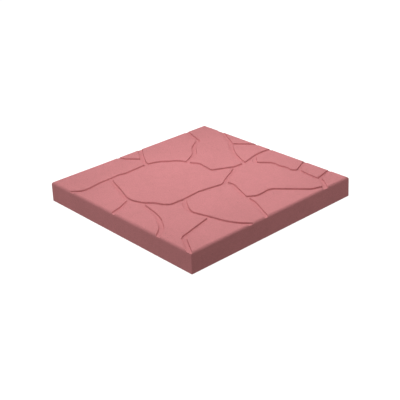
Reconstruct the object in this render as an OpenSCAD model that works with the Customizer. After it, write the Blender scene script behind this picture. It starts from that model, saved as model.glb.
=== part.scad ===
// Square concrete paving slab, cast in one piece.
// Its face is moulded to look like irregular flagstones with open joints between them.
// The origin is at the middle of the bed, the flat underside that the slab is laid on. +Z is up.

/* [Slab] */
// Length of the slab along X, at its bed
slab_length = 300; // [150:5:600]
// Width of the slab along Y, at its bed
slab_width = 300; // [150:5:600]
// Thickness of the slab, from its bed to the face of the stones
slab_thickness = 30; // [15:1:80]
// How far each side leans in between the bed and the face, so that the slab leaves its mould
mould_draft = 0.5; // [0.1:0.1:3]
// Radius of the rounded edge all round the face
edge_radius = 4; // [0.5:0.5:8]

/* [Joints] */
// Width of a joint, between the faces of two stones
joint_width = 8; // [6:0.5:12]
// Depth of a joint, from the face of the stones to its floor
joint_depth = 2.2; // [1.4:0.1:6]
// How far each wall of a joint leans out between its floor and its arris
joint_draft = 0.5; // [0.1:0.1:1.5]
// Radius of the arris, where a stone's face turns down into a joint
arris_radius = 0.7; // [0.2:0.1:1.2]

/* [Hidden] */

// The joint lines are drawn on a square grid, centred on the face, that stretches with the slab.
face_grid = 300;
// Where a line runs out at a side of the slab, it ends this far from the middle, past the grid's edge.
out = 156;

// The middle line of each joint, point by point. A branch starts or ends on the line that it meets.
joint_lines = [
    // across the slab, under the north stones and over the south-east ones
    [[-out, 106], [-148, 101], [-142, 93], [-129, 89], [-101, 94], [-80, 94], [-67, 96], [-59, 92],
     [-20, 95], [-8, 93], [4, 88], [13, 79], [23, 72], [27, 63], [29, 53], [37, 42], [32, 10],
     [47, 2], [66, -8], [88, -8], [118, 0], [132, 1], [out, -1]],
    // round the left and under side of the middle stone
    [[-85, 96], [-92, 80], [-98, 60], [-108, 34], [-110, 20], [-104, 0], [-92, -13], [-89, -23],
     [-80, -33], [-58, -34], [-27, -31], [14, -38], [30, -28], [50, -18], [69, -7]],
    // between the north stones
    [[-17, 95], [-14, 106], [-4, 123], [18, out]],
    [[-30, out], [-29, 138], [-9, 116]],
    [[29, 57], [46, 66], [57, 72], [76, 94], [97, 107], [101, 122], [112, out]],
    // between the east stones
    [[84, -8], [87, 3], [98, 28], [110, 46], [125, 64], [142, 96], [out, 126]],
    [[122, 60], [143, 34], [out, 18]],
    [[110, -2], [96, -18], [112, -37], [110, -52], [114, -61], [110, -73], [118, -83], [out, -66]],
    [[119, -82], [117, -92], [115, -115], [116, -128], [95, -out]],
    [[116, -123], [130, -120], [out, -114]],
    // between the west stones
    [[-out, 4], [-131, 10], [-110, 20]],
    [[-104, 2], [-107, -7], [-112, -35], [-118, -52], [-130, -72], [-139, -80], [-out, -91]],
    // between the south stones
    [[-58, -34], [-67, -46], [-73, -56], [-77, -67], [-64, -120], [-55, -138], [-39, -out]],
    [[-69, -98], [-129, -113], [-155, -out]],
    [[19, -36], [21, -46], [5, -86], [1, -108], [-21, -out]],
    [[4, -88], [18, -99], [31, -99], [46, -97], [84, -139], [103, -146]],
];

// Segments in the round of an arris
arris_steps = 3;
// How far the cutters stand clear of the face
clear = 1;
// Where a line bends, its corner is cut across this far from the bend, or a third of a short stretch
bend_cut = 3;

function unit(v) = v / norm(v);
function left_of(v) = [-v.y, v.x];

// A point of the drawing, on the slab
function on_face(p) = [p.x * slab_length, p.y * slab_width] / face_grid;

// A line with each of its bends cut across
function eased(line) =
    let (last = len(line) - 1)
    concat(
        [line[0]],
        [for (i = [1 : last - 1], next = [i - 1, i + 1])
            let (way = line[next] - line[i])
            line[i] + min(bend_cut, norm(way) / 3) * unit(way)],
        [line[last]]);

// The way across a line at its point i, lengthened so that the walls stay parallel round a bend
function across(line, i) =
    let (last = len(line) - 1,
         before = left_of(unit(line[max(i, 1)] - line[max(i, 1) - 1])),
         after = left_of(unit(line[min(i, last - 1) + 1] - line[min(i, last - 1)])))
    (before + after) / (1 + before * after);

// The right half of a joint's section, from its floor to above the face: [across, up from the face]
function half_section() =
    let (middle = [joint_width / 2, -arris_radius])
    concat(
        [[joint_width / 2 - arris_radius - joint_draft, -joint_depth]],
        [for (k = [0 : arris_steps])
            let (angle = 180 - 90 * k / arris_steps)
            middle + arris_radius * [cos(angle), sin(angle)]],
        [[joint_width / 2, clear]]);

function section() =
    let (right = half_section(), n = len(right))
    concat(right, [for (k = [n - 1 : -1 : 0]) [-right[k].x, right[k].y]]);

// The space that a joint takes out of the face: its section carried along its line
module joint(line) {
    shape = section();
    n = len(shape);
    rings = len(line);
    points = [for (i = [0 : rings - 1], s = shape)
        let (p = line[i] + s.x * across(line, i))
        [p.x, p.y, slab_thickness + s.y]];
    sides = [for (i = [0 : rings - 2], k = [0 : n - 1])
        [i * n + k, (i + 1) * n + k, (i + 1) * n + (k + 1) % n, i * n + (k + 1) % n]];
    start = [for (k = [0 : n - 1]) k];
    end = [for (k = [n - 1 : -1 : 0]) (rings - 1) * n + k];
    polyhedron(points, concat([start], sides, [end]), convexity = 10);
}

// The slab's outline seen from one side: leaning sides and rounded top edges
module side_view(length) {
    top = length / 2 - mould_draft;
    difference() {
        polygon([[-length / 2, 0], [length / 2, 0], [top, slab_thickness], [-top, slab_thickness]]);
        for (side = [-1, 1])
            translate([side * (top - edge_radius), slab_thickness - edge_radius])
                difference() {
                    translate([side > 0 ? 0 : -edge_radius - mould_draft, 0])
                        square([edge_radius + mould_draft, edge_radius + clear]);
                    circle(edge_radius, $fn = 64);
                }
    }
}

module blank() {
    intersection() {
        rotate([90, 0, 0])
            linear_extrude(slab_width, center = true) side_view(slab_length);
        rotate([90, 0, 90])
            linear_extrude(slab_length, center = true) side_view(slab_width);
    }
}

module paving_slab() {
    color("#cf8586")
    difference() {
        blank();
        for (line = joint_lines)
            joint([for (p = eased(line)) on_face(p)]);
    }
}

paving_slab();
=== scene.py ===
import math

import bmesh
import bpy
from mathutils import Matrix, Vector, noise
from mathutils.geometry import delaunay_2d_cdt


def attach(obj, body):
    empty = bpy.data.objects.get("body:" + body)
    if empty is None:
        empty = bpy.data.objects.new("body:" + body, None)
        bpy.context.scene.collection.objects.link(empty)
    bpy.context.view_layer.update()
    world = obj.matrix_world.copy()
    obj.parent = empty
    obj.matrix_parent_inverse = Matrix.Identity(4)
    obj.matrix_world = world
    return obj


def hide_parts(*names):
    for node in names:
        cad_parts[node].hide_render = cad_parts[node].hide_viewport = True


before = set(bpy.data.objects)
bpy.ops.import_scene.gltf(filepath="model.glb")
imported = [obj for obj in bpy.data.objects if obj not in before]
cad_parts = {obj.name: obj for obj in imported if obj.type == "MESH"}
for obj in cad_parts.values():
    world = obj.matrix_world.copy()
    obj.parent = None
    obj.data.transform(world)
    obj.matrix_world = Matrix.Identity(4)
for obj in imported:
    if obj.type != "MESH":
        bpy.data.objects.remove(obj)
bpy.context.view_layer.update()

MM = 0.001

# Sides of the triangles that the slab's skin is cut into, on the face and sides and on the bed
FINE = 1.7 * MM
COARSE = 5.0 * MM
# Points of the skin closer together than this become one
CLOSE = 0.2 * MM
# The least cosine between a triangle and its flat face after points were made one
STEADY = 0.8
# Corners of CAD triangles closer than this are one point, and triangles that turn less are one flat face
WELD = 0.002 * MM
FLAT = math.radians(0.3)
# Points below this height lie on the bed
BED_TOP = 0.01 * MM
# What delaunay_2d_cdt is asked for: the triangles inside the outline
INSIDE = 1
# How close two points have to be for it to take them as one
SAME = 1e-9
# Edges that turn more than this are shaded as creases
CREASE = math.radians(42)
# Unevenness of the cast surface, from broad waves to a fine ripple: depth, waves per metre, start
WAVES = (
    (0.22 * MM, 22, Vector((0, 0, 0))),
    (0.08 * MM, 75, Vector((7, 3, 1))),
    (0.04 * MM, 260, Vector((2, 9, 5))),
)


def add(name, data):
    """A new object in the scene."""
    made = bpy.data.objects.new(name, data)
    bpy.context.scene.collection.objects.link(made)
    return made


# The slab's skin

def faces_down(normal):
    return normal.z < -0.9


def flat_faces(node):
    """Corner points and flat faces of a CAD node, with the triangles of each plane joined again."""
    bm = bmesh.new()
    bm.from_mesh(node.data)
    bmesh.ops.remove_doubles(bm, verts=bm.verts, dist=WELD)
    bmesh.ops.dissolve_limit(bm, angle_limit=FLAT, verts=bm.verts, edges=bm.edges)
    bm.normal_update()
    bm.verts.index_update()
    points = [v.co.copy() for v in bm.verts]
    faces = [([v.index for v in f.verts], f.normal.copy()) for f in bm.faces]
    bm.free()
    return points, faces


def cut_edges(points, faces):
    """Puts points along every edge longer than FINE, the same ones for the faces on both sides of it."""
    between = {}
    cut = []
    for loop, normal in faces:
        path = []
        for a, b in zip(loop, loop[1:] + loop[:1]):
            key = (min(a, b), max(a, b))
            if key not in between:
                start, end = points[key[0]], points[key[1]]
                parts = max(1, math.ceil((end - start).length / FINE))
                between[key] = range(len(points), len(points) + parts - 1)
                points.extend(start.lerp(end, k / parts) for k in range(1, parts))
            inner = between[key]
            path.append(a)
            path.extend(inner if a < b else reversed(inner))
        cut.append((path, normal))
    return cut


def lattice(outline, low, high, pitch):
    """Points of a triangular lattice inside an outline, none of them close to the outline's points."""
    row_height = pitch * math.sqrt(0.75)
    rows = int((high.y - low.y) / row_height)
    crossings = [[] for _ in range(rows + 1)]
    taken = set()
    for p, q in zip(outline, outline[1:] + outline[:1]):
        cell = (round(p.x / pitch * 2), round(p.y / pitch * 2))
        taken.update((cell[0] + i, cell[1] + j) for i in (-1, 0, 1) for j in (-1, 0, 1))
        if p.y == q.y:
            continue
        first, last = sorted((p.y, q.y))
        for r in range(max(0, math.ceil((first - low.y) / row_height)), rows + 1):
            y = low.y + r * row_height
            if y >= last:
                break
            crossings[r].append(p.x + (q.x - p.x) * (y - p.y) / (q.y - p.y))
    inside = []
    for r, xs in enumerate(crossings):
        xs.sort()
        y = low.y + r * row_height
        for left, right in zip(xs[::2], xs[1::2]):
            k = math.ceil((left - low.x) / pitch)
            while low.x + (k + 0.5 * (r % 2)) * pitch < right:
                x = low.x + (k + 0.5 * (r % 2)) * pitch
                k += 1
                if x > left and (round(x / pitch * 2), round(y / pitch * 2)) not in taken:
                    inside.append(Vector((x, y)))
    return inside


def fill(points, loop, normal):
    """Triangles over one flat face, with a lattice of points inside it where there is room."""
    level = abs(normal.z) > 0.99
    side = Vector((1, 0, 0)) if level else normal.orthogonal().normalized()
    up = normal.cross(side)
    side = up.cross(normal)
    origin = points[loop[0]]
    flat = [Vector(((points[i] - origin).dot(side), (points[i] - origin).dot(up))) for i in loop]
    pitch = COARSE if faces_down(normal) else FINE
    low = Vector((min(p.x for p in flat), min(p.y for p in flat)))
    high = Vector((max(p.x for p in flat), max(p.y for p in flat)))
    roomy = min(high.x - low.x, high.y - low.y) > 1.2 * pitch
    inner = lattice(flat, low, high, pitch) if roomy else []
    outline = list(range(len(flat)))
    made, _, faces, sources = delaunay_2d_cdt(flat + inner, [], [outline], INSIDE, SAME)[:4]
    number = []
    for p, source in zip(made, sources):
        if source and source[0] < len(loop):
            number.append(loop[source[0]])
        else:
            number.append(len(points))
            points.append(origin + side * p.x + up * p.y)
    triangles = []
    for corners in faces:
        t = [number[c] for c in corners]
        a, b, c = (points[i] for i in t)
        if (b - a).cross(c - a).dot(normal) < 0:
            t.reverse()
        triangles.append(t)
    return triangles


def merge_close(points, triangles, facing):
    """Makes close points one, where the skin stays closed and no triangle turns far.

    A triangle that is lost becomes None.
    """
    around = [set() for _ in points]
    for f, t in enumerate(triangles):
        for i in t:
            around[i].add(f)

    def ring(i):
        return {j for f in around[i] for j in triangles[f]} - {i}

    def may_go(drop, keep, shared):
        if points[drop].z < BED_TOP <= points[keep].z:
            return False
        for f in around[drop] - shared:
            a, b, c = (points[keep if i == drop else i] for i in triangles[f])
            across = (b - a).cross(c - a)
            if across.dot(facing[f]) <= STEADY * across.length:
                return False
        return True

    def merge(drop, keep, shared):
        for f in shared:
            for i in triangles[f]:
                around[i].discard(f)
            triangles[f] = None
        for f in around[drop]:
            triangles[f] = [keep if i == drop else i for i in triangles[f]]
            around[keep].add(f)
        around[drop] = set()

    merged = True
    while merged:
        merged = False
        edges = {(min(a, b), max(a, b)) for t in triangles if t for a, b in zip(t, t[1:] + t[:1])}
        lengths = [((points[a] - points[b]).length, a, b) for a, b in edges]
        for _, a, b in sorted(edge for edge in lengths if edge[0] < CLOSE):
            shared = around[a] & around[b]
            if len(shared) != 2:
                continue
            tips = {i for f in shared for i in triangles[f]} - {a, b}
            if ring(a) & ring(b) != tips:
                continue
            for drop, keep in ((b, a), (a, b)):
                if may_go(drop, keep, shared):
                    merge(drop, keep, shared)
                    merged = True
                    break


def unevenness(p):
    """How far the cast surface lies below the true one at a point."""
    return sum(depth * (0.5 + 0.5 * noise.noise(p * pitch + start)) for depth, pitch, start in WAVES)


def sink(points, triangles):
    """The points let down into the slab by the unevenness there, with the bed left flat."""
    normals = [Vector() for _ in points]
    for t in triangles:
        a, b, c = (points[i] for i in t)
        across = (b - a).cross(c - a)
        for i in t:
            normals[i] += across
    sunk = []
    for p, n in zip(points, normals):
        q = p - n.normalized() * unevenness(p)
        if p.z < BED_TOP:
            q.z = p.z
        sunk.append(q)
    return sunk


def cast_skin(node, name):
    """A skin of fine triangles on a CAD node, with material 1 on its bed and 0 on the rest."""
    points, faces = flat_faces(node)
    triangles = []
    facing = []
    for loop, normal in cut_edges(points, faces):
        new = fill(points, loop, normal)
        triangles.extend(new)
        facing.extend([normal] * len(new))
    merge_close(points, triangles, facing)
    slots = [int(faces_down(n)) for n, t in zip(facing, triangles) if t]
    triangles = [t for t in triangles if t]
    used = sorted({i for t in triangles for i in t})
    number = {old: new for new, old in enumerate(used)}
    points = [points[i] for i in used]
    triangles = [[number[i] for i in t] for t in triangles]

    mesh = bpy.data.meshes.new(name)
    mesh.from_pydata([p[:] for p in sink(points, triangles)], [], triangles)
    mesh.polygons.foreach_set("material_index", slots)
    mesh.polygons.foreach_set("use_smooth", [True] * len(triangles))
    mesh.set_sharp_from_angle(angle=CREASE)
    mesh.update()
    return add(name, mesh)


slab = cast_skin(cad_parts["paving_slab"], "cast_slab")
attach(slab, "root")
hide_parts("paving_slab")


# Materials. Patterns are laid out in the object's own metres, so a scale is in cells per metre.

class Pattern:
    """The nodes of a new material; each method adds nodes and returns an output of theirs."""

    def __init__(self, name):
        self.material = bpy.data.materials.new(name)
        self.material.use_nodes = True
        self.shader = self.material.node_tree.nodes["Principled BSDF"]
        self.place = self.node("ShaderNodeTexCoord").outputs["Object"]

    def node(self, kind, values=(), joined=()):
        """A node with values set on some of its inputs and outputs joined to others."""
        made = self.material.node_tree.nodes.new(kind)
        for socket, value in dict(values).items():
            made.inputs[socket].default_value = value
        for socket, output in dict(joined).items():
            self.join(output, made, socket)
        return made

    def join(self, output, node, socket):
        self.material.node_tree.links.new(output, node.inputs[socket])

    def noise(self, scale, detail, roughness=0.5, distortion=0):
        values = {"Scale": scale, "Detail": detail, "Roughness": roughness, "Distortion": distortion}
        return self.node("ShaderNodeTexNoise", values, {"Vector": self.place}).outputs["Fac"]

    def cells(self, scale):
        """The distance to the middle of a cell, and a value of 0 to 1 that is the same all over it."""
        voronoi = self.node("ShaderNodeTexVoronoi", {"Scale": scale}, {"Vector": self.place})
        split = self.node("ShaderNodeSeparateColor", joined={"Color": voronoi.outputs["Color"]})
        return voronoi.outputs["Distance"], split.outputs["Red"]

    def span(self, value, old, new, kind="LINEAR"):
        """A value carried from an old range to a new one."""
        values = {"From Min": old[0], "From Max": old[1], "To Min": new[0], "To Max": new[1]}
        made = self.node("ShaderNodeMapRange", values, {"Value": value})
        made.interpolation_type = kind
        return made.outputs["Result"]

    def combine(self, operation, first, *others):
        for other in others:
            made = self.node("ShaderNodeMath", joined={0: first, 1: other})
            made.operation = operation
            first = made.outputs[0]
        return first

    def holes(self, scale, radius, share):
        """Round holes in a share of the cells: 0 in a hole, 1 on the sound surface."""
        distance, chance = self.cells(scale)
        hole = self.span(distance, (0.4 * radius, radius), (0, 1), "SMOOTHSTEP")
        spared = self.span(chance, (share, share + 0.02), (0, 1))
        return self.combine("MAXIMUM", hole, spared)

    def bump(self, height, strength, distance, under=None):
        """A bump, laid over another one where that is given."""
        joined = {"Height": height} if under is None else {"Height": height, "Normal": under}
        values = {"Strength": strength, "Distance": distance}
        return self.node("ShaderNodeBump", values, joined).outputs["Normal"]


def concrete(name, pale, deep, spread, grain, pore_radius, pore_share, roughness):
    """Matte dyed concrete: broad clouds of tone, a fine sandy grain, open pores and pinholes.

    The clouds run from a deep to a pale colour. The radius of a pore is a share of a cell's width.
    """
    p = Pattern(name)
    p.shader.inputs["Specular IOR Level"].default_value = 0.25

    drift = p.noise(scale=16, detail=5, roughness=0.55, distortion=0.4)
    clouds = p.node("ShaderNodeValToRGB", joined={"Fac": drift})
    first, last = clouds.color_ramp.elements
    first.position, first.color = 0.5 - spread, (*deep, 1)
    last.position, last.color = 0.5 + spread, (*pale, 1)

    blotches = p.span(p.noise(scale=95, detail=4, roughness=0.6), (0.3, 0.7), (0.982, 1.018))
    sand = p.noise(scale=1300, detail=3)
    specks = p.span(sand, (0.3, 0.7), (1 - grain, 1 + grain))
    grains = p.span(p.cells(scale=1500)[1], (0, 1), (1 - 0.6 * grain, 1 + 0.6 * grain))
    pores = p.holes(scale=130, radius=pore_radius, share=pore_share)
    pinholes = p.holes(scale=420, radius=0.22, share=0.12)
    sound = p.combine("MINIMUM", pores, pinholes)
    # Painted shade: the base colour is darkened to 0.66 inside pores and pinholes, on top of their bump
    painted_pore_shade = p.span(sound, (0, 1), (0.66, 1))

    tone = p.node("ShaderNodeMix")
    tone.data_type = "RGBA"
    tone.blend_type = "MULTIPLY"
    tone.clamp_result = False
    tone.inputs["Factor"].default_value = 1
    p.join(clouds.outputs["Color"], tone, "A")
    p.join(p.combine("MULTIPLY", blotches, specks, grains, painted_pore_shade), tone, "B")
    p.join(tone.outputs["Result"], p.shader, "Base Color")
    p.join(p.span(sand, (0, 1), (roughness - 0.08, roughness + 0.08)), p.shader, "Roughness")

    grit = p.bump(sand, strength=0.4, distance=0.12 * MM)
    p.join(p.bump(sound, strength=0.6, distance=0.5 * MM, under=grit), p.shader, "Normal")
    return p.material


slab.data.materials.append(concrete(
    "dyed concrete", pale=(0.621, 0.23, 0.245), deep=(0.581, 0.215, 0.228), spread=0.2,
    grain=0.1, pore_radius=0.11, pore_share=0.4, roughness=0.86))
slab.data.materials.append(concrete(
    "concrete bed", pale=(0.6, 0.24, 0.25), deep=(0.5, 0.2, 0.208), spread=0.15,
    grain=0.16, pore_radius=0.24, pore_share=0.65, roughness=0.92))


# Stage: a plain pale floor just under the bed, which throws no light back on the slab

FLOOR_REACH = 6
FLOOR_DROP = 0.02 * MM

floor_corners = [(x * FLOOR_REACH, y * FLOOR_REACH, 0) for x, y in ((-1, -1), (1, -1), (1, 1), (-1, 1))]
floor_mesh = bpy.data.meshes.new("floor")
floor_mesh.from_pydata(floor_corners, [], [(0, 1, 2, 3)])
floor = add("floor", floor_mesh)
floor.location.z = -FLOOR_DROP
floor.visible_diffuse = False
floor.visible_glossy = False
floor_paint = bpy.data.materials.new("pale floor")
floor_paint.use_nodes = True
for socket, value in (
    ("Base Color", (0.22, 0.22, 0.22, 1)),
    ("Roughness", 0.9),
    ("Specular IOR Level", 0.1),
    ("Emission Color", (1, 1, 1, 1)),
    ("Emission Strength", 0.98),
):
    floor_paint.node_tree.nodes["Principled BSDF"].inputs[socket].default_value = value
floor_mesh.materials.append(floor_paint)


# Light: a broad lamp overhead, a soft key lamp from behind,
# and fills for the far corner and the two sides that the photo shows

def facing_back(direction):
    """The turn of a lamp that stands in this direction and shines back."""
    return Vector(direction).to_track_quat("Z", "Y").to_euler()


def soft_disk(name, energy, size, place):
    """A broad round lamp that shines straight down."""
    disk = bpy.data.lights.new(name, "AREA")
    disk.shape = "DISK"
    disk.size = size
    disk.energy = energy
    add(name, disk).location = place


def soft_spot(name, energy, spread, size, place, aim):
    """A round lamp with a soft edge, aimed at a point of the slab; its spread is in degrees."""
    spot = bpy.data.lights.new(name, "SPOT")
    spot.energy = energy
    spot.spot_size = math.radians(spread)
    spot.spot_blend = 1
    spot.shadow_soft_size = size
    lamp = add(name, spot)
    lamp.location = place
    lamp.rotation_euler = facing_back(Vector(place) - Vector(aim))


def soft_sun(name, energy, spread, toward):
    """A far light from the direction given; its spread is in degrees."""
    sun = bpy.data.lights.new(name, "SUN")
    sun.energy = energy
    sun.angle = math.radians(spread)
    add(name, sun).rotation_euler = facing_back(toward)


soft_disk("top light", energy=2.37, size=0.7, place=(-0.06, -0.06, 0.72))
soft_spot("key light", energy=14.6, spread=54, size=0.16,
          place=(0.43, 0.26, 0.835), aim=(-0.06, -0.07, 0.03))
soft_spot("far fill", energy=7.4, spread=24.2, size=0.1,
          place=(-0.5, -0.51, 0.87), aim=(0.06, 0.13, 0.03))
soft_sun("left fill", energy=0.92, spread=60, toward=(-0.5, 0.8, 0.35))
soft_sun("low front fill", energy=0.432, spread=10, toward=(-0.66, -0.75, 0.07))
soft_spot("low right fill", energy=1.1, spread=50, size=0.15,
          place=(0.45, -0.55, 0.12), aim=(0.1, -0.15, 0.015))
soft_spot("low left fill", energy=0.5, spread=50, size=0.15,
          place=(-0.55, 0.45, 0.12), aim=(-0.15, 0.1, 0.015))

world = bpy.data.worlds.new("studio")
world.use_nodes = True
sky = world.node_tree.nodes["Background"]
sky.inputs["Color"].default_value = (1, 0.995, 0.9, 1)
sky.inputs["Strength"].default_value = 0.193
bpy.context.scene.world = world
bpy.context.scene.view_settings.view_transform = "Standard"


# Camera: over one corner of the slab, at the photo's angle

TURN = math.radians(-41.44)
LIFT = math.radians(26.119)
ROLL = math.radians(2.501)
# From the middle of the bed: to the camera's right, up and back
CAMERA_PLACE = Vector((0.607, -2.692, 1265.88)) * MM

camera_data = bpy.data.cameras.new("camera")
camera_data.sensor_width = 36
camera_data.lens = 79.48
camera_data.clip_start = 0.05
camera = add("camera", camera_data)
back = Vector((math.sin(TURN) * math.cos(LIFT), -math.cos(TURN) * math.cos(LIFT), math.sin(LIFT)))
right = Vector((math.cos(TURN), math.sin(TURN), 0))
level = Matrix((right, back.cross(right), back)).transposed()
axes = level @ Matrix.Rotation(-ROLL, 3, "Z")
camera.matrix_world = Matrix.Translation(axes @ CAMERA_PLACE) @ axes.to_4x4()
bpy.context.scene.camera = camera
